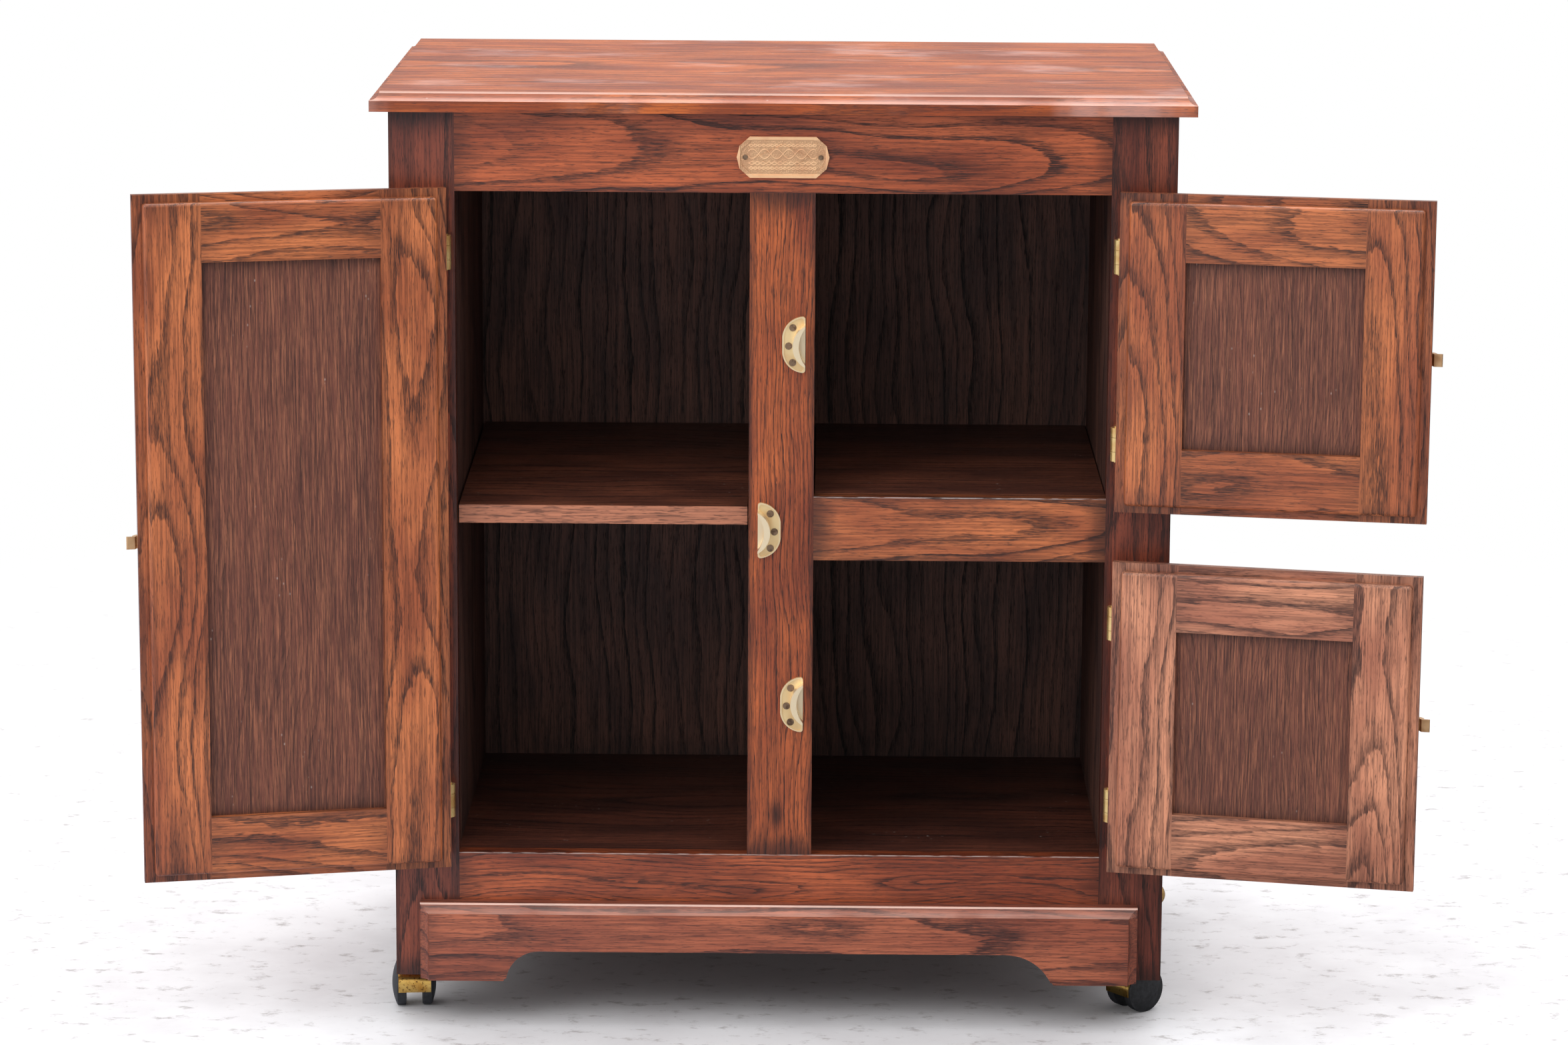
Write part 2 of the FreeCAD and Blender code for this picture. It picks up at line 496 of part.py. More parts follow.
latch_levels = {door: floor(f"{door}_latch") for door in DOORS}
frame_leaves, hinge_pins, frame_spots = [], [], []
for door, (side, bottom, top, _) in DOORS.items():
    frame = door + "_door"
    z_low, z_high = floor(f"{bottom} - lip_end"), floor(f"{top} + lip_end")
    lip = box(door + "_lip", (u_low, u_high), (lip_front, lip_back), (z_low, z_high), side)
    lip_smooth = rounded(door + "_lip_smooth", lip, "lip_round", in_plane("y", value(lip_front)))
    raised = box(door + "_raised", (f"{u_low} + raised_side", f"{u_high} - raised_side"),
                 (lip_back, raised_back), (f"{z_low} + raised_end", f"{z_high} - raised_end"), side)
    corners = rounded(door + "_raised_corners", raised, "raised_round", along_axis("y"))
    raised_smooth = rounded(door + "_raised_smooth", corners, "raised_round",
                            in_plane("y", value(raised_back)))
    slab = fuse(door + "_slab", lip_smooth, raised_smooth)
    inside_u = (f"{u_low} + member", f"{u_high} - member")
    inside_z = (f"{z_low} + member", f"{z_high} - member")
    window = box(door + "_window", inside_u, (f"{lip_front} - 1", f"{raised_back} + 1"), inside_z, side)
    panel_y = (f"{raised_back} - panel_recess - panel_thick", f"{raised_back} - panel_recess")
    groove_u = (f"{inside_u[0]} - groove_depth", f"{inside_u[1]} + groove_depth")
    groove_z = (f"{inside_z[0]} - groove_depth", f"{inside_z[1]} + groove_depth")
    groove = box(door + "_groove", groove_u, panel_y, groove_z, side)
    ring = cut(door + "_ring", slab, window, groove)
    stile_zone = group(door + "_stile_zone",
                       box(door + "_hinge_zone", (u_low, inside_u[0]), (lip_front, raised_back), (z_low, z_high), side),
                       box(door + "_free_zone", (inside_u[1], u_high), (lip_front, raised_back), (z_low, z_high), side))
    rail_zone = group(door + "_rail_zone",
                      box(door + "_low_zone", inside_u, (lip_front, raised_back), (z_low, inside_z[0]), side),
                      box(door + "_high_zone", inside_u, (lip_front, raised_back), (inside_z[1], z_high), side))
    node(door + "_door_stiles", common(door + "_stile_pair", ring, stile_zone), frame)
    node(door + "_door_rails", common(door + "_rail_pair", ring, rail_zone), frame)
    node(door + "_door_panel", box(door + "_sheet", groove_u, panel_y, groove_z, side), frame)

    levels = [f"{z_high} - hinge_inset", f"{z_low} + hinge_inset"]
    leaves = [door_leaf(f"{door}_leaf_{i}", side, level) for i, level in enumerate(levels)]
    node(door + "_door_hinge_leaves", group(door + "_leaf_pair", *leaves), frame)
    for i, level in enumerate(levels):
        frame_leaves.append(frame_leaf(f"{door}_frame_leaf_{i}", side, level))
        frame_spots += [(f"{-side} * (hinge_x + leaf_width / 2 + riser_clear + leaf_thick)",
                         "-leaf_thick", f"{level} + {rise}") for rise in (-11, 11)]
        hinge_pins.append(rod(f"{door}_hinge_pin_{i}", "hinge_pin_radius", f"2 * {knuckle_half} + 3",
                              (f"{-side} * hinge_x", "-hinge_out", f"{level} - {knuckle_half} - 1.5")))

    latch = latch_levels[door]
    base_u = (f"{u_high} - 1 - latch_base_width", f"{u_high} - 1")
    plate = box(door + "_latch_plate", base_u, (f"{lip_front} - latch_base_thick", lip_front),
                (f"{latch} - latch_base_half", f"{latch} + latch_base_half"), side)
    pieces = [plate]
    for end, start in (("low", f"{latch} - tongue_half - lug_gap - lug_thick"),
                       ("high", f"{latch} + tongue_half + lug_gap")):
        pieces.append(box(f"{door}_{end}_lug", (f"{pin_u} - 4", f"{pin_u} + 4"),
                          (f"{pin_y} - 4", f"{lip_front} - latch_base_thick"), (start, f"({start}) + lug_thick"), side))
    base = fuse(door + "_latch_casting", *pieces)
    notch = box(door + "_latch_notch", (f"{pin_u} - 2", f"{u_high}"), (f"{lip_front} - latch_base_thick", lip_front),
                (f"{latch} - tongue_half - lug_gap", f"{latch} + tongue_half + lug_gap"), side)
    pin_span = "2 * (tongue_half + lug_gap + lug_thick)"
    pin_start = (f"{side} * {pin_u}", pin_y, f"{latch} - ({pin_span}) / 2")
    pin_hole = rod(door + "_latch_pin_hole", "latch_pin_radius", pin_span, pin_start)
    pin = rod(door + "_latch_pin", "latch_pin_radius", pin_span, pin_start)
    node(door + "_latch_base", group(door + "_latch_set", cut(door + "_latch_body", base, notch, pin_hole), pin), frame)
    lever = latch_lever(door + "_lever_body", side, latch)
    lever_bore = rod(door + "_lever_bore", "latch_pin_bore", "2 * tongue_half", (*pin_start[:2], f"{latch} - tongue_half"))
    node(door + "_latch_lever", cut(door + "_lever", lever, lever_bore), frame)

    spots = [(f"{side} * ({base_u[0]} + 7)", f"{lip_front} - latch_base_thick", f"{latch} + {rise}")
             for rise in (-24, 24)]
    spots += [(f"{side} * (leaf_width / 2 + 9)", f"{lip_front} - leaf_thick", f"{level} + {rise}")
              for level in levels for rise in (-11, 11)]
    node(door + "_door_screws", group(door + "_screw_set", *screw_heads(door + "_door", spots)), frame)

node("frame_hinge_leaves", group("frame_leaf_set", *frame_leaves))
node("hinge_pins", group("hinge_pin_set", *hinge_pins))

# ---- keepers, label plate and side fitting -------------------------------------------------

def keeper_outline(name, side, level, shrink, length):
    """A half-round plate whose straight side faces the door."""
    flat, far, tall = f"keeper_width - {shrink}", f"0.3 + {shrink}", f"keeper_half - {shrink}"
    points = [(flat, f"-({tall}) + keeper_corner"), (flat, f"{tall} - keeper_corner"),
              (f"{flat} - keeper_corner", tall), (far, "keeper_flat"), (far, "-keeper_flat"),
              (f"{flat} - keeper_corner", f"-({tall})")]
    points = [(f"{-side} * ({x})", f"{level} + ({z})") for x, z in points]
    anticlockwise = side < 0
    arcs = {1: ("keeper_corner", anticlockwise), 2: (f"keeper_round - {shrink}", anticlockwise),
            4: (f"keeper_round - {shrink}", anticlockwise), 5: ("keeper_corner", anticlockwise)}
    return padded(name, "XZ_Plane", points, length, arcs)


def crescent(name, side, level, half_high, deep, length):
    """A segment of a circle on the keeper's straight side."""
    points = [(f"{-side} * keeper_width", f"{level} + {half_high}"),
              (f"{-side} * keeper_width", f"{level} - {half_high}")]
    radius = f"({half_high} ^ 2 + {deep} ^ 2) / 2 / {deep}"
    return padded(name, "XZ_Plane", points, length, {0: (radius, side < 0)})


keepers, keeper_spots = [], []
for door, (side, _, _, _) in DOORS.items():
    latch = latch_levels[door]
    level = f"({latch} - lower_keeper_drop)" if door == "lower_right" else latch
    blank = keeper_outline(door + "_keeper_blank", side, level, "0", "keeper_plate + keeper_rim_out")
    dish = keeper_outline(door + "_keeper_dish", side, level, "keeper_rim", "keeper_plate * 4")
    bind(dish, Placement__Base__y="-keeper_plate")
    hood = crescent(door + "_hood", side, latch, "hood_half_high", "hood_deep", "hood_out")
    mouth = crescent(door + "_mouth", side, latch, "mouth_half_high", "mouth_deep", "hood_out * 2")
    bind(mouth, Placement__Base__y="-pocket_floor")
    pocket = box(door + "_pocket", ("keeper_width - pocket_deep", "keeper_width"),
                 ("-hood_out + hood_lip", "-pocket_floor"),
                 (f"{latch} - tongue_half - 1.5", f"{latch} + tongue_half + 1.5"), -side)
    body = fuse(door + "_keeper_body", cut(door + "_keeper_tray", blank, dish), hood)
    keepers.append(cut(door + "_keeper", body, mouth, pocket))
    keeper_spots += [(f"{-side} * (keeper_width - {x})", "-keeper_plate", f"{level} + ({z})")
                     for x, z in (("13.4", "18.4"), ("17.9", "-1.5"), ("13.6", "-19.5"))]
node("keepers", group("keeper_set", *keepers))

plate_z = floor("plate_level")
x_side, z_side = "plate_half", "plate_high / 2"


def label_shape(name, shrink, length):
    """A long plate with cut corners and gently bowed ends."""
    x, z = f"({x_side} - {shrink})", f"({z_side} - {shrink})"
    points = [(f"-{x} + plate_cut", f"-{z}"), (f"{x} - plate_cut", f"-{z}"), (f"{x} - 3", f"-{z} + plate_cut * 0.7"),
              (x, "0"), (f"{x} - 3", f"{z} - plate_cut * 0.7"), (f"{x} - plate_cut", z),
              (f"-{x} + plate_cut", z), (f"-{x} + 3", f"{z} - plate_cut * 0.7"), (f"-{x}", "0"),
              (f"-{x} + 3", f"-{z} + plate_cut * 0.7")]
    return padded(name, "XZ_Plane", points, length, shift=(("y", plate_z),))


ground = label_shape("label_ground", "0", "plate_thick + rim_out")
hollow = label_shape("label_hollow", "rim_width", "rim_out * 4")
bind(hollow, Placement__Base__y="-plate_thick")
badge = padded("label_badge", "XZ_Plane",
               [("-badge_half * 2", "0"), ("0", "-badge_half"), ("badge_half * 2", "0"), ("0", "badge_half")],
               "plate_thick + rim_out * 0.7", shift=(("y", plate_z),))
node("label_plate", fuse("label_whole", cut("label_tray", ground, hollow), badge))

screws = screw_heads("keeper", keeper_spots)
screws += screw_heads("frame_leaf", frame_spots, "screw_radius * 0.75")
screws += screw_heads("label", [(f"{side} * (plate_half - 9)", "-plate_thick", plate_z) for side in (-1, 1)],
                      "screw_radius * 0.7")
node("frame_screws", group("frame_screw_set", *screws))

cap = turned("side_cap", "XY_Plane",
             [("0", "0"), ("0", "cap_radius"), ("1.2", "cap_radius"), ("cap_out", "0")],
             {2: ("cap_radius * 1.3", False)},
             (("x", half), ("y", "cap_back"), ("z", floor("cap_level"))))
node("side_cap", cap)

# ---- casters -------------------------------------------------------------------------------
# In a caster's own frame the stem is x = 0, y = 0 and the hood's skirt faces -y.

axle_place = (("y", "-trail"), ("z", "wheel_radius"))
for caster in ("left_front", "right_front", "left_rear", "right_rear"):
    frame = caster + "_caster"
    hood_start = ("-hood_half", "-trail", "wheel_radius")
    shell = rod(caster + "_shell", "wheel_radius + hood_gap + hood_thick", "2 * hood_half",
                hood_start, "x", "hood_sweep", 140)
    shell_hollow = rod(caster + "_shell_hollow", "wheel_radius + hood_gap", "2 * hood_half + 2",
                       ("-hood_half - 1", "-trail", "wheel_radius"), "x")
    cover = cut(caster + "_cover", shell, shell_hollow)
    web = box(caster + "_web", ("-web_half", "web_half"), ("-trail - 16", "8"),
              ("wheel_radius - 7", "wheel_radius * 2 - 1"))
    web_round = rod(caster + "_web_round", "wheel_radius + hood_gap + hood_thick / 2", "2 * web_half",
                    ("-web_half", "-trail", "wheel_radius"), "x")
    web_trim = common(caster + "_web_trim", web, web_round)
    axle_hole = rod(caster + "_axle_hole", "axle_radius", "2 * web_half", ("-web_half", "-trail", "wheel_radius"), "x")
    stem_place = ("0", "0", "wheel_radius + 12")
    stem_hole = rod(caster + "_stem_hole", "stem_radius", "20", stem_place)
    carrier = cut(caster + "_carrier", fuse(caster + "_carrier_solid", cover, web_trim), axle_hole, stem_hole)
    axle = rod(caster + "_axle", "axle_radius", "2 * axle_half", ("-axle_half", "-trail", "wheel_radius"), "x")
    stem = rod(caster + "_stem", "stem_radius", "caster_height - wheel_radius - 12 + stem_long", stem_place)
    node(caster + "_caster_hood", group(caster + "_hood_set", carrier, axle, stem), frame)
    for side, name in ((-1, "left"), (1, "right")):
        rim = [("wheel_inner", "wheel_bore"), ("axle_half + 1", "wheel_bore"), ("axle_half + 1", "0"),
               ("wheel_outer", "0"), ("tread_outer", "wheel_radius - 1.2"),
               ("tread_outer - 1.2", "wheel_radius"), ("wheel_inner + 1", "wheel_radius"),
               ("wheel_inner", "wheel_radius - 1")]
        dome = "((wheel_radius - 1.2) ^ 2 + (wheel_outer - tread_outer) ^ 2) / 2 / (wheel_outer - tread_outer)"
        wheel = turned(f"{caster}_{name}_wheel_body", "XY_Plane", [(f"{side} * ({x})", y) for x, y in rim],
                       {3: (dome, side > 0), 4: ("1.2", side > 0)}, axle_place)
        node(f"{caster}_{name}_wheel", wheel, frame)

# ---- check and write -----------------------------------------------------------------------

doc.recompute()
for thing in doc.Objects:
    if "Invalid" in thing.State or "Error" in thing.State:
        raise RuntimeError(f"{thing.Label} failed: {thing.State}")
whole = FreeCAD.BoundBox()
os.makedirs("parts", exist_ok=True)
for label, thing in nodes.items():
    shape = thing.Shape
    if shape.isNull() or not shape.isValid() or not shape.Solids:
        raise RuntimeError(f"{label} has no valid shape")
    whole.add(shape.BoundBox)
    shape.exportStep(f"parts/{label}.step")
print(len(nodes), "sub-parts; middle", round(whole.Center.x, 3), round(whole.Center.y, 3),
      "size", [round(length, 2) for length in (whole.XLength, whole.YLength, whole.ZLength)], "low", round(whole.ZMin, 3))
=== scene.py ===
import json
import math

import bpy
from mathutils import Matrix, Vector


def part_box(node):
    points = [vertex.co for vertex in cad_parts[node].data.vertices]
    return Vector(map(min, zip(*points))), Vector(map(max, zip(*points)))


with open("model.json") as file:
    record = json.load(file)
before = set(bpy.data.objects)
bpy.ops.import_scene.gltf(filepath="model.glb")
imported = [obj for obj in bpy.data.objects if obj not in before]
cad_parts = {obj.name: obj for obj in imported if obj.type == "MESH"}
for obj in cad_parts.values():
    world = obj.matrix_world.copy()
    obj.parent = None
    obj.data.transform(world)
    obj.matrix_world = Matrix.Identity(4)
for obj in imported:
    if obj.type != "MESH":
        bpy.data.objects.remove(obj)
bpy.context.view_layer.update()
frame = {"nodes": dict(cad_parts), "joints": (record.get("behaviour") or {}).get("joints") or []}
scene = bpy.context.scene
nodes = frame["nodes"]
joints = {joint["name"]: joint for joint in frame["joints"]}

MM = 0.001
DOORS = ("left", "upper_right", "lower_right")
CASTERS = ("left_front", "right_front", "left_rear", "right_rear")

# The cabinet's own datum: the middle of the front frame's face, at the bottom of the posts.
stile_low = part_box("left_front_stile")[0]
middle_x = sum(corner.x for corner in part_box("centre_stile")) / 2
DATUM = Vector((middle_x, stile_low.y, stile_low.z))


# ---- node building -------------------------------------------------------------------------

class Shader:
    """A material's node tree, with short calls for the nodes used here. Values may be numbers
    or sockets; every call returns a socket."""

    def __init__(self, name, owner=None):
        self.material = owner or bpy.data.materials.new(name)
        self.material.use_nodes = True
        self.tree = self.material.node_tree
        self.principled = self.tree.nodes.get("Principled BSDF")

    def new(self, kind, **settings):
        node = self.tree.nodes.new(kind)
        for name, setting in settings.items():
            setattr(node, name, setting)
        return node

    def feed(self, socket, source):
        if isinstance(source, bpy.types.NodeSocket):
            self.tree.links.new(source, socket)
        elif source is not None:
            socket.default_value = source

    def math(self, operation, a, b=None):
        node = self.new("ShaderNodeMath", operation=operation)
        for socket, source in zip(node.inputs, (a, b)):
            self.feed(socket, source)
        return node.outputs[0]

    def add(self, *terms):
        total = terms[0]
        for term in terms[1:]:
            total = self.math("ADD", total, term)
        return total

    def sub(self, a, b):
        return self.math("SUBTRACT", a, b)

    def mul(self, *factors):
        total = factors[0]
        for factor in factors[1:]:
            total = self.math("MULTIPLY", total, factor)
        return total

    def span(self, source, low, high, to_low=0.0, to_high=1.0, smooth=True):
        """source from low..high mapped to to_low..to_high, held at the ends."""
        kind = "SMOOTHSTEP" if smooth else "LINEAR"
        node = self.new("ShaderNodeMapRange", interpolation_type=kind)
        for socket, value in zip(node.inputs[:5], (source, low, high, to_low, to_high)):
            self.feed(socket, value)
        return node.outputs[0]

    def vector(self, x, y, z):
        node = self.new("ShaderNodeCombineXYZ")
        for socket, source in zip(node.inputs, (x, y, z)):
            self.feed(socket, source)
        return node.outputs[0]

    def noise(self, vector, scale=1.0, detail=2.0, roughness=0.5):
        node = self.new("ShaderNodeTexNoise")
        settings = {"Vector": vector, "Scale": scale, "Detail": detail, "Roughness": roughness}
        for name, source in settings.items():
            self.feed(node.inputs[name], source)
        return node.outputs[0]

    def cells(self, vector, scale):
        node = self.new("ShaderNodeTexVoronoi")
        self.feed(node.inputs["Vector"], vector)
        self.feed(node.inputs["Scale"], scale)
        return node.outputs["Distance"]

    def chance(self, source):
        """A random level for each whole number."""
        node = self.new("ShaderNodeTexWhiteNoise", noise_dimensions="1D")
        self.feed(node.inputs["W"], source)
        return node.outputs["Value"]

    def blend(self, factor, a, b):
        node = self.new("ShaderNodeMix", data_type="RGBA")
        node.clamp_factor = True
        for socket, source in ((node.inputs[0], factor), (node.inputs[6], a), (node.inputs[7], b)):
            self.feed(socket, (*source, 1.0) if isinstance(source, tuple) else source)
        return node.outputs[2]

    def ramp(self, source, stops):
        node = self.new("ShaderNodeValToRGB")
        ramp = node.color_ramp
        while len(ramp.elements) < len(stops):
            ramp.elements.new(0.5)
        for element, (position, colour) in zip(ramp.elements, stops):
            element.position = position
            element.color = (colour, colour, colour, 1.0)
        self.feed(node.inputs[0], source)
        return node.outputs[0]

    def split(self, vector):
        node = self.new("ShaderNodeSeparateXYZ")
        self.feed(node.inputs[0], vector)
        return list(node.outputs)

    def place(self):
        """Position in the row frame, in millimetres, as x, y, z sockets."""
        coordinates = self.new("ShaderNodeTexCoord").outputs["Object"]
        return [self.mul(socket, 1000.0) for socket in self.split(coordinates)]

    def finish(self, colour, roughness, bump=None, bump_depth=0.1, **settings):
        """Connects the results; settings are constants on the shader's own sockets."""
        self.feed(self.principled.inputs["Base Color"], colour)
        self.feed(self.principled.inputs["Roughness"], roughness)
        for name, setting in settings.items():
            title = name.replace("_", " ").title().replace("Ior", "IOR")
            self.principled.inputs[title].default_value = setting
        if bump is not None:
            node = self.new("ShaderNodeBump")
            node.inputs["Strength"].default_value = 1.0
            node.inputs["Distance"].default_value = bump_depth * MM
            self.feed(node.inputs["Height"], bump)
            self.feed(self.principled.inputs["Normal"], node.outputs[0])
        return self.material


def srgb(red, green, blue):
    """A colour given as 0-255 display values, as linear numbers."""
    def linear(level):
        level /= 255
        return level / 12.92 if level <= 0.04045 else ((level + 0.055) / 1.055) ** 2.4
    return tuple(linear(level) for level in (red, green, blue))


# ---- wood ----------------------------------------------------------------------------------

def darker(colour, factor):
    return tuple(level * factor for level in colour)


def paint(node, material):
    """Gives a CAD node one material."""
    slots = nodes[node].data.materials
    slots.clear()
    slots.append(material)


def soften(node, width_mm):
    """Rounds a CAD node's sharp arrises a little, as sandpaper does."""
    bevel = nodes[node].modifiers.new("arris", "BEVEL")
    bevel.width = width_mm * MM
    bevel.segments = 2
    bevel.limit_method = "ANGLE"
    bevel.angle_limit = math.radians(40)


HALF_MEMBER = 36.0      # half the width of a door's stile or rail
ARRIS_HIGHLIGHT = 1.3        # how far the painted highlight on a rail's upper arris reaches
GRAIN_RELIEF = 0.1      # depth of the open grain
PAIR_SHIFT = 37.0       # sets the second board of a pair apart from the first in the noise
FLECK = srgb(172, 108, 76)
# Painted highlights on mouldings: the sheen in a cove and the line along its crest.
PAINTED_SHINE = srgb(238, 192, 176)
PAINTED_CREST = srgb(246, 208, 192)
# A painted pale reflection of the sky, laid in patches on the top board.
PAINTED_SKY_HAZE = srgb(214, 188, 184)
SCUFF = srgb(200, 188, 180)

# One growth ring, from the pith outwards: dark open early wood, then a slow fade to late wood.
RING = [(0.0, 0.0), (0.035, 1.0), (0.16, 0.85), (0.34, 0.26), (0.62, 0.05), (1.0, 0.0)]


class Board(Shader):
    """The shader of a board, or of a pair of like boards that lie apart along the axis pair.
    grain, face: the axes (0 width, 1 depth, 2 up, turned by angle about Z) that the fibres run
    along and that the widest face looks along."""

    def __init__(self, node, grain, face, angle, seed, pair):
        super().__init__(node)
        self.grain, self.face, self.width = grain, face, 3 - grain - face
        turn = Matrix.Rotation(angle, 3, "Z")
        axes = [turn @ Vector(axis) for axis in ((1, 0, 0), (0, 1, 0), (0, 0, 1))]
        corners = [vertex.co * 1000 for vertex in nodes[node].data.vertices]
        reaches = [[axis.dot(corner) for corner in corners] for axis in axes]
        self.spans = [(min(reach), max(reach)) for reach in reaches]
        self.half = [(high - low) / 2 for low, high in self.spans]
        position = self.place()
        self.turned = [self.add(*[self.mul(position[i], axis[i]) for i in range(3) if abs(axis[i]) > 1e-6])
                       for axis in axes]
        local = [self.sub(socket, (low + high) / 2) for socket, (low, high) in zip(self.turned, self.spans)]
        self.shift = seed
        if pair is not None:
            board = min(self.half[self.width], HALF_MEMBER)
            self.shift = self.add(seed, self.mul(self.math("GREATER_THAN", local[pair], 0.0), PAIR_SHIFT))
            local[pair] = self.sub(self.math("ABSOLUTE", local[pair]), self.half[pair] - board)
            self.half[pair] = board
        self.along, self.across, self.deep = local[grain], local[self.width], local[face]

    def fibres(self, long, wide, offset=0.0, detail=2.0, roughness=0.5):
        """Noise drawn out along the fibres, of a length and a width in millimetres."""
        layer = self.add(self.mul(self.deep, 1 / wide), self.mul(self.shift, 1.7), offset)
        spot = self.vector(self.mul(self.along, 1 / long), self.mul(self.across, 1 / wide), layer)
        return self.noise(spot, 1.0, detail, roughness)

    def surface_noise(self, long, wide, third, detail, roughness=0.5):
        """Noise over the wide face, drawn out to a length and a width in millimetres."""
        spot = self.vector(self.mul(self.along, 1 / long), self.mul(self.across, 1 / wide), third)
        return self.noise(spot, 1.0, detail, roughness)

    def rings(self, spacing, slope, pith):
        """Growth rings, of uneven width and strength, with ragged edges: cylinders round a pith
        that lies pith[1] below the face and up to pith[0] aside, and leans by slope."""
        sway = self.mul(self.sub(self.fibres(300, 100, detail=1.5), 0.5), 80.0)
        lean = self.mul(self.sub(self.fibres(420, 160, 4.0, detail=1.0), 0.5), 70.0)
        aside = self.mul(self.math("SINE", self.mul(self.shift, 12.9898)), pith[0])
        off = self.add(aside, self.across, sway)
        depth = self.add(self.deep, pith[1], self.mul(self.along, slope), lean)
        radius = self.math("SQRT", self.add(self.mul(off, off), self.mul(depth, depth)))
        unevenness = self.noise(self.vector(self.mul(radius, 1 / (spacing * 5)), self.shift, 0.0), 1.0, 1.0)
        ripple = self.add(self.mul(self.fibres(34, 5, 1.0), 3.0), self.mul(self.fibres(13, 1.7, 2.0), 1.5))
        years = self.mul(self.add(radius, self.mul(unevenness, spacing * 2.6), ripple), 1 / spacing)
        year = self.math("FLOOR", years)
        strength = self.span(self.chance(year), 0.0, 1.0, 0.35, 1.0, smooth=False)
        return self.mul(self.ramp(self.sub(years, year), RING), strength)

    def gather(self, reach):
        """Where stain gathers: the ends of the board, and less so its edges."""
        to_end = self.sub(self.half[self.grain], self.math("ABSOLUTE", self.along))
        to_side = self.sub(self.half[self.width], self.math("ABSOLUTE", self.across))
        near_end = self.span(to_end, 0.0, self.mul(reach, 1.9), 1.0, 0.0)
        near_side = self.span(to_side, 0.0, self.mul(reach, 0.55), 1.0, 0.0)
        return self.math("MAXIMUM", near_end, self.mul(near_side, 0.75))

    def painted_cove_shine(self, colour, width, height, brightness):
        """Painted highlights: a pale sheen in the cove on the upper front arris, and a line along its
        crest.
        """
        in_front = self.sub(self.turned[1], self.spans[1][0])
        below = self.sub(self.spans[2][1], self.turned[2])
        in_cove = self.mul(self.span(in_front, 0.0, width, 1.0, 0.15),
                             self.math("GREATER_THAN", in_front, 0.2),
                             self.math("LESS_THAN", below, height + 0.3),
                             self.math("LESS_THAN", in_front, width - 0.05))
        lengthwise = self.vector(self.mul(self.along, 1 / 60), self.mul(self.shift, 2.1), 0.0)
        patchy = self.span(self.noise(lengthwise, 1.0, 3.0), 0.3, 0.6, 0.45, 1.0)
        colour = self.blend(self.mul(in_cove, patchy, brightness), colour, PAINTED_SHINE)
        crest = self.span(self.math("ABSOLUTE", self.sub(in_front, width)), 0.3, 1.1, 1.0, 0.0)
        return self.blend(self.mul(crest, self.math("LESS_THAN", below, 2.0), 0.7), colour, PAINTED_CREST)

    def knotted(self, colour, knot, smear, dark):
        """A knot, from its place along and across the board and its size."""
        place, aside, size = knot
        off = self.math("POWER", self.mul(self.sub(self.along, place), 0.45), 2.0)
        far = self.add(off, self.math("POWER", self.sub(self.across, aside), 2.0))
        burl = self.add(self.math("SQRT", far), self.mul(smear, size * 0.8))
        return self.blend(self.span(burl, size * 0.6, size * 1.7, 0.8, 0.0), colour, darker(dark, 0.8))

    def arris_shine(self, colour, tint):
        """A painted highlight along the upper arris of a rail, broken into patches."""
        below = self.math("ABSOLUTE", self.sub(self.turned[2], self.spans[2][1]))
        line = self.span(below, 0.0, ARRIS_HIGHLIGHT, 1.0, 0.0)
        patchiness = self.noise(self.vector(self.mul(self.along, 1 / 18), self.across, 0.0), 1.0, 3.0)
        face = -self.half[self.face]
        front = self.span(self.deep, face, face + 3.0, 1.0, 0.0)
        return self.blend(self.mul(line, self.span(patchiness, 0.38, 0.55), front, 0.75), colour, tint)


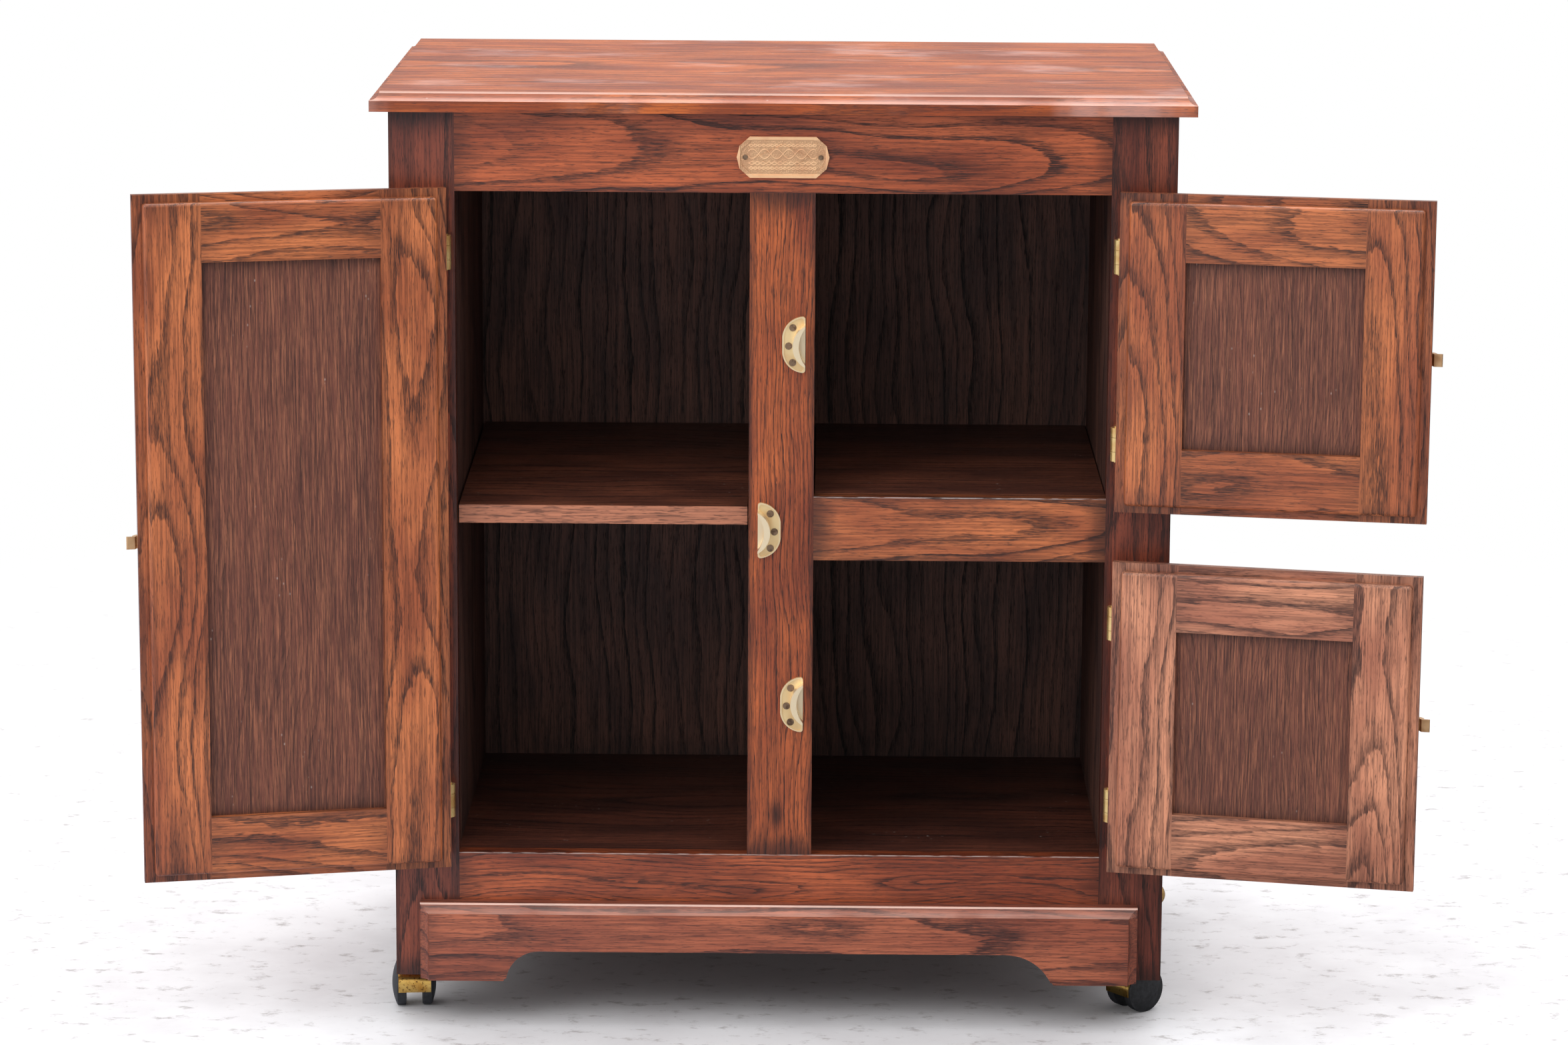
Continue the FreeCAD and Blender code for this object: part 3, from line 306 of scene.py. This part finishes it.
def oak(node, grain, face, *, light, mid, dark, angle=0.0, seed=0.0, pair=None, spacing=7.0, slope=0.02,
        pith=(0.0, 60.0), gloss=0.36, coat=0.2, edge=0.5, lines=1.0, fleck=0.0, cloudy=1.0, knot=None,
        arris_highlight=None, cove_highlight=None, lit_front_edge=None, back_shade=0.0, sky_reflection=0.0, wear=0.0):
    """Paints a node as stained, varnished oak. spacing: the growth rings' mean width. edge,
    lines, fleck, cloudy, haze and wear: the strength of the gathered stain, the dark figure,
    pale flecks, broad clouds, a painted pale reflection of the sky, and scuffs. knot: its place
    along and across the board and its size; arris_highlight: the colour of a painted highlight on a
    rail's upper arris; hollow: width, height and brightness of a painted highlight in a
    moulding's cove; lit_front_edge: a lighter colour painted on a shelf's front edge, as lit wood
    beside its shaded top; fade: painted shade, how far a board darkens towards the back."""
    s = Board(node, grain, face, angle, seed, pair)
    band = s.rings(spacing, slope, pith)

    # Pores: dark dashes along the fibres, crowded in the early wood.
    dash = s.fibres(19, 1.5, 3.0, 2.0, 0.6)
    crowd = s.mul(band, 0.16)
    pores = s.span(s.fibres(12, 0.8, 5.0, 2.0, 0.6), s.sub(0.61, crowd), s.sub(0.72, crowd))
    clouds = s.fibres(150, 50, 6.0)
    thread = s.fibres(100, 2.1, 7.0, 3.0, 0.65)

    tone = s.blend(s.add(0.5 - 0.5 * cloudy, s.mul(s.span(clouds, 0.32, 0.68), cloudy)), mid, light)
    tone = s.blend(s.mul(s.span(thread, 0.42, 0.60), 0.66), tone, s.blend(0.68, tone, dark))
    if fleck:
        tone = s.blend(s.mul(s.span(s.fibres(46, 1.4, 8.0, 3.0, 0.7), 0.42, 0.74), fleck), tone, FLECK)
    colour = s.blend(s.mul(band, s.span(dash, 0.28, 0.56, 0.25, 1.0), 0.94 * lines), tone, dark)
    colour = s.blend(s.mul(s.span(dash, 0.56, 0.66), 0.52 * lines), colour, dark)
    colour = s.blend(s.mul(pores, 0.7 * lines), colour, darker(dark, 0.72))

    # Stain gathered at the ends and edges, then whatever is particular to this board.
    smear = s.surface_noise(30, 30, s.add(s.shift, s.mul(s.deep, 1 / 30)), 3.0)
    gathered = s.gather(s.add(s.mul(smear, 26.0), 3.0))
    colour = s.blend(s.mul(gathered, edge), colour, darker(dark, 0.9))
    # Painted light: a shelf's front edge in a lighter colour, as lit wood, beside its top in shade.
    if lit_front_edge:
        front = -s.half[s.width]
        lined = s.blend(s.mul(s.span(thread, 0.45, 0.62), 0.45), lit_front_edge, tone)
        lit_front = s.blend(s.mul(s.span(dash, 0.52, 0.62), 0.6), lined, dark)
        colour = s.blend(s.span(s.across, front + 0.6, front + 1.4, 0.72, 0.0), colour, lit_front)
    # Painted shade: the board darkens towards the back of the cabinet.
    if back_shade:
        shade_to_back = s.span(s.across, -0.6 * s.half[s.width], s.half[s.width])
        colour = s.blend(s.mul(shade_to_back, back_shade), colour, darker(dark, 0.5))
    # Painted highlights in a moulding's cove and along its crest.
    if cove_highlight:
        colour = s.painted_cove_shine(colour, *cove_highlight)
    if knot:
        colour = s.knotted(colour, knot, smear, dark)
    # A painted highlight along a rail's upper arris.
    if arris_highlight:
        colour = s.arris_shine(colour, arris_highlight)
    rough = s.add(gloss, s.mul(pores, 0.18), s.mul(s.sub(smear, 0.5), 0.12))
    # Painted reflection: pale patches of reflected sky, with rougher varnish there.
    if sky_reflection:
        reflection_mask = s.span(s.surface_noise(170, 110, seed + 5.0, 4.0, 0.6), 0.52, 0.72)
        colour = s.blend(s.mul(reflection_mask, sky_reflection), colour, PAINTED_SKY_HAZE)
        rough = s.add(rough, s.mul(reflection_mask, 0.15))
    if wear:
        cells = s.cells(s.vector(s.mul(s.along, 1 / 14), s.mul(s.across, 1 / 8), seed), 1.0)
        rare = s.span(s.surface_noise(90, 60, seed + 3.0, 2.0), 0.54, 0.66)
        colour = s.blend(s.mul(s.span(cells, 0.0, 0.15, 1.0, 0.0), rare, wear), colour, SCUFF)

    height = s.add(s.mul(pores, -1.0), s.mul(band, -0.35), s.mul(thread, 0.3))
    paint(node, s.finish(colour, rough, height, GRAIN_RELIEF, coat_weight=coat, coat_roughness=0.2,
                         specular_ior_level=0.4))


BARE_WOOD = dict(gloss=0.6, coat=0.0)

RED_OAK = dict(light=srgb(180, 90, 50), mid=srgb(134, 60, 33), dark=srgb(40, 17, 14))
DEEP_OAK = dict(light=srgb(182, 92, 44), mid=srgb(132, 58, 29), dark=srgb(34, 14, 11))
POST_OAK = dict(light=srgb(136, 66, 44), mid=srgb(104, 46, 32), dark=srgb(36, 18, 16))
ORANGE_OAK = dict(light=srgb(198, 114, 66), mid=srgb(154, 80, 47), dark=srgb(46, 22, 17))
PINK_OAK = dict(light=srgb(210, 142, 108), mid=srgb(166, 102, 77), dark=srgb(62, 34, 28))
PLINTH_OAK = dict(light=srgb(176, 98, 68), mid=srgb(146, 76, 54), dark=srgb(60, 32, 30))
TOP_OAK = dict(light=srgb(196, 100, 40), mid=srgb(150, 66, 26), dark=srgb(76, 32, 18))
FLOOR_OAK = dict(light=srgb(104, 56, 41), mid=srgb(72, 38, 29), dark=srgb(22, 12, 11))
SHELF_OAK = dict(light=srgb(124, 70, 50), mid=srgb(88, 48, 36), dark=srgb(30, 17, 14))
INNER_OAK = dict(light=srgb(112, 72, 58), mid=srgb(84, 53, 45), dark=srgb(12, 8, 8))
VENEER = dict(light=srgb(116, 64, 48), mid=srgb(86, 46, 37), dark=srgb(38, 21, 18))

# The front frame. Arched figure on the wide rails, straight grain on the stiles.
for i, side in enumerate(("left", "right")):
    oak(f"{side}_front_stile", 2, 1, **POST_OAK, seed=3.0 + i, pith=(20, 70), slope=0.03, spacing=10,
        edge=0.7)
oak("centre_stile", 2, 1, **DEEP_OAK, seed=11.0, pith=(60, 14), slope=0.004, spacing=4.5, lines=0.9,
    edge=0.75, knot=(-318, -4, 9))
oak("top_rail", 0, 1, **RED_OAK, seed=5.3, pith=(5, 55), slope=0.05, spacing=12, edge=0.45)
# The mid and bottom rails carry a painted highlight along their upper arris.
oak("mid_rail", 0, 1, **ORANGE_OAK, seed=8.1, pith=(5, 50), slope=0.09, spacing=12, edge=0.7,
    arris_highlight=srgb(200, 190, 188))
oak("bottom_rail", 0, 1, **RED_OAK, seed=2.2, pith=(60, 12), slope=0.004, spacing=5, lines=0.85, edge=0.4,
    arris_highlight=srgb(200, 182, 176))
# The plinth and the top board carry painted highlights in the cove of their mouldings.
oak("plinth", 0, 1, **PLINTH_OAK, seed=6.6, pith=(20, 60), slope=0.03, spacing=12, edge=0.3,
    cove_highlight=(9.0, 10.2, 0.4))
# The top board also carries painted pale reflections of the sky, in patches.
oak("top_board", 0, 2, **TOP_OAK, seed=9.2, pith=(30, 90), slope=0.02, spacing=14, gloss=0.38, coat=0.1,
    edge=0.2, lines=0.9, sky_reflection=0.3, wear=0.8, cove_highlight=(10.5, 9.3, 0.62))

# The sides and the back.
for i, side in enumerate(("left", "right")):
    oak(f"{side}_side_frame", 2, 0, **RED_OAK, seed=13.0 + i, pith=(30, 60), spacing=9, edge=0.3)
oak("side_panels", 2, 0, **RED_OAK, seed=17.0, pith=(60, 80), slope=0.03, spacing=13, edge=0.4)
oak("rear_rails", 0, 1, **RED_OAK, seed=19.0, edge=0.3)
oak("rear_panel", 2, 1, **RED_OAK, seed=21.0, pith=(80, 90), slope=0.03, spacing=15, edge=0.4)

# Inside: thin dark-stained linings and boards.
oak("back_lining", 2, 1, **INNER_OAK, **BARE_WOOD, seed=23.0, pith=(60, 60), slope=0.04, spacing=15,
    edge=0.3)
oak("wall_linings", 2, 0, **INNER_OAK, **BARE_WOOD, seed=24.0, spacing=12, edge=0.3)
# Painted shade darkens the floor board and the shelves towards the back.
oak("floor_board", 0, 2, **FLOOR_OAK, seed=25.0, spacing=10, gloss=0.42, coat=0.1, edge=0.2, wear=0.6,
    back_shade=0.5)
# The shelves' front edges are painted lighter, as lit wood beside their shaded tops.
for i, side in enumerate(("left", "right")):
    oak(f"{side}_shelf", 0, 2, **SHELF_OAK, seed=27.0 + i, spacing=10, gloss=0.42, coat=0.1, edge=0.15,
        wear=0.7, back_shade=0.6, lit_front_edge=srgb(196, 126, 94))
oak("shelf_supports", 1, 2, **INNER_OAK, seed=29.0)

# Doors: their axes are turned by the angle at which they stand open.
DOOR_OAK = {"left": ORANGE_OAK, "upper_right": ORANGE_OAK, "lower_right": PINK_OAK}
for i, door in enumerate(DOORS):
    to_shut = joints[f"{door}_door_hinge"]["range_deg"][1 if door == "left" else 0]
    look = dict(angle=-math.radians(to_shut), **DOOR_OAK[door])
    oak(f"{door}_door_stiles", 2, 1, **look, seed=31.0 + i, pith=(25, 55), spacing=9, pair=0, edge=0.4)
    oak(f"{door}_door_rails", 0, 1, **look, seed=35.0 + i, pith=(20, 40), slope=0.05, spacing=8, pair=2,
        edge=0.25)
    oak(f"{door}_door_panel", 2, 1, angle=look["angle"], **VENEER, seed=39.0 + i, pith=(300, 10),
        slope=0.002, spacing=4, gloss=0.5, coat=0.0, edge=0.4, lines=0.5, fleck=0.62, wear=0.4, cloudy=0.35)

ARRISES = {
    1.2: ("left_shelf",),
    0.8: ("left_front_stile", "right_front_stile", "mid_rail", "bottom_rail"),
    0.7: ("top_board",),
    0.6: ("centre_stile", "plinth", "right_shelf", "left_side_frame", "right_side_frame"),
    0.4: ("top_rail",),
}
for width, names in ARRISES.items():
    for name in names:
        soften(name, width)


# ---- metal and plastic ---------------------------------------------------------------------

RUST = srgb(104, 62, 34)
LABEL_RELIEF = 0.5      # height of the label's raised pattern, in millimetres


def metal(name, light, dark, roughness, spots=0.0, scale=16.0, grain=0.08, dent=0.02, relief=None,
          metallic=1.0, proud_highlight=None):
    """Brass with cloudy tarnish and, with spots, small rusty marks. relief adds a raised pattern;
    proud: how far in front of the frame's face the metal gets a painted highlight, and its colour there."""
    s = Shader(name)
    x, y, z = s.place()
    point = s.vector(x, y, z)
    cloud = s.noise(point, 1 / scale, 2.0, 0.5)
    speck = s.noise(point, 1 / 0.9, 3.0, 0.7)
    colour = s.blend(s.span(cloud, 0.38, 0.72), light, dark)
    if spots:
        rust = s.span(s.add(s.noise(point, 1 / 2.8, 4.0, 0.7), s.mul(cloud, 0.25)), 0.68, 0.76)
        colour = s.blend(s.mul(rust, spots), colour, RUST)
    # Painted highlight on the metal that stands out from the frame's face.
    if proud_highlight:
        reach, bright = proud_highlight
        colour = s.blend(s.span(s.sub(DATUM.y * 1000, y), reach, reach + 1.5), colour, bright)
    height, depth = speck, dent
    if relief:
        raised = relief(s, x, z)
        colour = s.blend(s.mul(s.sub(1.0, raised), 0.62), colour, darker(dark, 0.5))
        height, depth = s.add(raised, s.mul(speck, 0.06)), LABEL_RELIEF
    rough = s.add(roughness, s.mul(s.sub(speck, 0.5), grain), s.mul(s.sub(cloud, 0.5), grain))
    return s.finish(colour, rough, height, depth, metallic=metallic)


# The label's waves: level of each above the middle, its height and its wavelength.
WAVES = ((3.5, 5.0, 26.0), (12.5, 1.1, 9.0), (-6.5, 1.5, 12.0), (-11.8, 1.1, 9.0))


def engraving(s, x, z):
    """A generic label pattern: interlaced waves and fine rules, on a stippled ground."""
    low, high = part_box("label_plate")
    right, up = s.sub(x, (low.x + high.x) * 500), s.sub(z, (low.z + high.z) * 500)
    half_wide, half_high = (high.x - low.x) * 500, (high.z - low.z) * 500
    raised = s.span(s.cells(s.vector(right, up, 0.0), 1 / 1.3), 0.30, 0.55, 0.25, 0.0)
    inside = s.span(s.math("ABSOLUTE", right), half_wide - 14.0, half_wide - 12.0, 1.0, 0.0)
    for middle, height, length in WAVES:
        for phase in (0.0, math.pi):
            wave = s.mul(s.math("SINE", s.add(s.mul(right, 2 * math.pi / length), phase)), height)
            near = s.span(s.math("ABSOLUTE", s.sub(s.sub(up, middle), wave)), 0.5, 1.2, 1.0, 0.0)
            raised = s.math("MAXIMUM", raised, s.mul(near, inside))
    rim = s.math("MAXIMUM", s.span(s.math("ABSOLUTE", right), half_wide - 4.4, half_wide - 3.6),
                 s.span(s.math("ABSOLUTE", up), half_high - 4.4, half_high - 3.6))
    return s.math("MAXIMUM", raised, rim)


# The keepers' hoods carry a painted highlight where they stand out from the frame.
KEEPER = metal("keeper_brass", srgb(255, 226, 170), srgb(240, 198, 140), 0.3, scale=30, grain=0.03,
               dent=0.002, metallic=0.7, proud_highlight=(3.0, srgb(255, 234, 196)))
HINGE = metal("hinge_brass", srgb(248, 214, 146), srgb(222, 172, 104), 0.22, metallic=0.75)
LATCH = metal("latch_brass", srgb(232, 188, 140), srgb(190, 140, 98), 0.3, metallic=0.8)
LABEL = metal("label_brass", srgb(255, 206, 158), srgb(238, 182, 138), 0.38, relief=engraving, metallic=0.6)
CASTER = metal("caster_brass", srgb(240, 198, 112), srgb(206, 150, 70), 0.2, spots=0.85)
SCREW = metal("screw_bronze", srgb(166, 138, 112), srgb(116, 92, 74), 0.36, scale=4)
STEEL = metal("socket_steel", srgb(150, 150, 150), srgb(100, 98, 95), 0.35)

paint("keepers", KEEPER)
paint("label_plate", LABEL)
paint("frame_screws", SCREW)
paint("side_cap", HINGE)
paint("frame_hinge_leaves", HINGE)
paint("hinge_pins", HINGE)
paint("caster_sockets", STEEL)
for door in DOORS:
    paint(f"{door}_door_hinge_leaves", HINGE)
    paint(f"{door}_latch_base", LATCH)
    paint(f"{door}_latch_lever", LATCH)
    paint(f"{door}_door_screws", SCREW)

s = Shader("wheel_grey")
point = s.vector(*s.place())
scuff = s.noise(point, 1 / 4, 4.0, 0.65)
plastic = s.blend(s.span(scuff, 0.35, 0.75), srgb(34, 35, 38), srgb(52, 53, 57))
WHEEL = s.finish(plastic, s.add(0.38, s.mul(scuff, 0.2)), s.noise(point, 1 / 0.8, 2.0), 0.05)
for caster in CASTERS:
    paint(f"{caster}_caster_hood", CASTER)
    for side in ("left", "right"):
        paint(f"{caster}_{side}_wheel", WHEEL)

s = Shader("insulation_cork")
point = s.vector(*s.place())
crumbs = s.cells(point, 1 / 5)
cork = s.blend(s.span(crumbs, 0.1, 0.8), srgb(160, 120, 80), srgb(96, 66, 42))
paint("insulation", s.finish(cork, 0.9, crumbs, 0.6))


# ---- studio --------------------------------------------------------------------------------

TOP_LEVEL, LEFT_LEVEL, RIGHT_LEVEL, BACK_LEVEL = 1.55, 1.0, 0.22, 0.32
SEEN_LEVEL = 1.05                       # the plain background behind the object
MIRRORED_LEFT, MIRRORED_RIGHT = (0.42, 0.44, 0.50), (0.10, 0.10, 0.10)
FLOOR_HALF = 30.0
WHITE_FROM, WHITE_TO = 1000.0, 2600.0   # where the floor fades into the background, in millimetres


def add_object(name, data):
    thing = bpy.data.objects.new(name, data)
    scene.collection.objects.link(thing)
    return thing


floor_mesh = bpy.data.meshes.new("studio_floor")
corners = [(x * FLOOR_HALF, y * FLOOR_HALF, 0.0) for x, y in ((-1, -1), (1, -1), (1, 1), (-1, 1))]
floor_mesh.from_pydata(corners, [], [(0, 1, 2, 3)])
studio_floor = add_object("studio_floor", floor_mesh)

# The floor is pale concrete near the object, with a painted shadow under it, and pure white
# further off. Glossy wood mirrors a darker floor than the one seen.
s = Shader("studio_floor")
x, y, z = s.place()
rays = s.new("ShaderNodeLightPath").outputs
ground = s.vector(x, y, 0.0)
cloud = s.noise(ground, 1 / 220, 5.0, 0.6)
marks = s.noise(s.vector(s.mul(x, 1 / 34), s.mul(y, 1 / 22), 0.0), 1.0, 6.0, 0.72)
tone = s.blend(s.span(cloud, 0.35, 0.7), srgb(234, 234, 237), srgb(220, 219, 222))
tone = s.blend(s.mul(s.span(marks, 0.54, 0.70), 0.6), tone, srgb(140, 132, 130))
# Painted shadow: the floor darkened under and just in front of the cabinet.
painted_shadow = s.mul(s.span(s.math("ABSOLUTE", x), 330.0, 470.0, 1.0, 0.0), s.span(y, -430.0, -200.0))
tone = s.blend(s.mul(painted_shadow, 0.2), tone, srgb(110, 104, 104))
mirrored = s.blend(s.span(x, -500.0, 450.0), MIRRORED_LEFT, MIRRORED_RIGHT)
tone = s.blend(rays["Is Glossy Ray"], tone, mirrored)
s.finish(tone, 0.7, specular_ior_level=0.1)
white = s.new("ShaderNodeEmission")
away = s.math("SQRT", s.add(s.mul(x, x), s.mul(y, y)))
mix = s.new("ShaderNodeMixShader")
s.feed(mix.inputs[0], s.mul(s.span(away, WHITE_FROM, WHITE_TO), rays["Is Camera Ray"]))
s.feed(mix.inputs[1], s.principled.outputs[0])
s.feed(mix.inputs[2], white.outputs[0])
s.feed(s.tree.nodes["Material Output"].inputs[0], mix.outputs[0])
floor_mesh.materials.append(s.material)

# An overcast sky: bright overhead and to the left, dim low down on the right and behind.
s = Shader("studio_sky", bpy.data.worlds.new("studio_sky"))
scene.world = s.material
east, north, up = s.split(s.new("ShaderNodeTexCoord").outputs["Generated"])
front = s.span(s.add(east, s.mul(north, 0.15)), -0.45, 0.35, LEFT_LEVEL, RIGHT_LEVEL)
low = s.span(north, -0.2, 0.4, front, BACK_LEVEL)
level = s.span(up, 0.12, 0.75, low, TOP_LEVEL)
seen = s.new("ShaderNodeLightPath").outputs["Is Camera Ray"]
background = s.tree.nodes["Background"]
background.inputs[0].default_value = (1.0, 1.0, 1.0, 1.0)
s.feed(background.inputs[1], s.math("MAXIMUM", level, s.mul(seen, SEEN_LEVEL)))


def area_light(name, place, target, size, power):
    data = bpy.data.lights.new(name, "AREA")
    data.shape = "RECTANGLE"
    data.size, data.size_y = size
    data.energy = power
    light = add_object(name, data)
    light.location = place
    light.rotation_euler = (Vector(target) - Vector(place)).to_track_quat("-Z", "Y").to_euler()


area_light("key", (-2.6, -3.2, 3.2), (0, 0, 0.5), (2.4, 2.4), 60)
area_light("top", (0.3, 0.4, 3.4), (0, 0.1, 0.9), (2.5, 1.8), 40)

# ---- camera --------------------------------------------------------------------------------

SENSOR_MM, LENS_MM = 36.0, 112.19388
YAW, PITCH, ROLL = (math.radians(angle) for angle in (0.417, -11.498, -0.343))
CAMERA_FROM_DATUM = Vector((0.0409, -5.1678, 1.5621))

camera_data = bpy.data.cameras.new("camera")
camera_data.sensor_width = SENSOR_MM
camera_data.lens = LENS_MM
camera = add_object("camera", camera_data)
turn = Matrix.Rotation(YAW, 3, "Z") @ Matrix.Rotation(PITCH, 3, "X") @ Matrix.Rotation(ROLL, 3, "Y")
right, forward, up = (turn @ Vector(axis) for axis in ((1, 0, 0), (0, 1, 0), (0, 0, 1)))
pose = Matrix((right, up, -forward)).transposed().to_4x4()
pose.translation = DATUM + CAMERA_FROM_DATUM
camera.matrix_world = pose
scene.camera = camera
scene.view_settings.view_transform = "Standard"
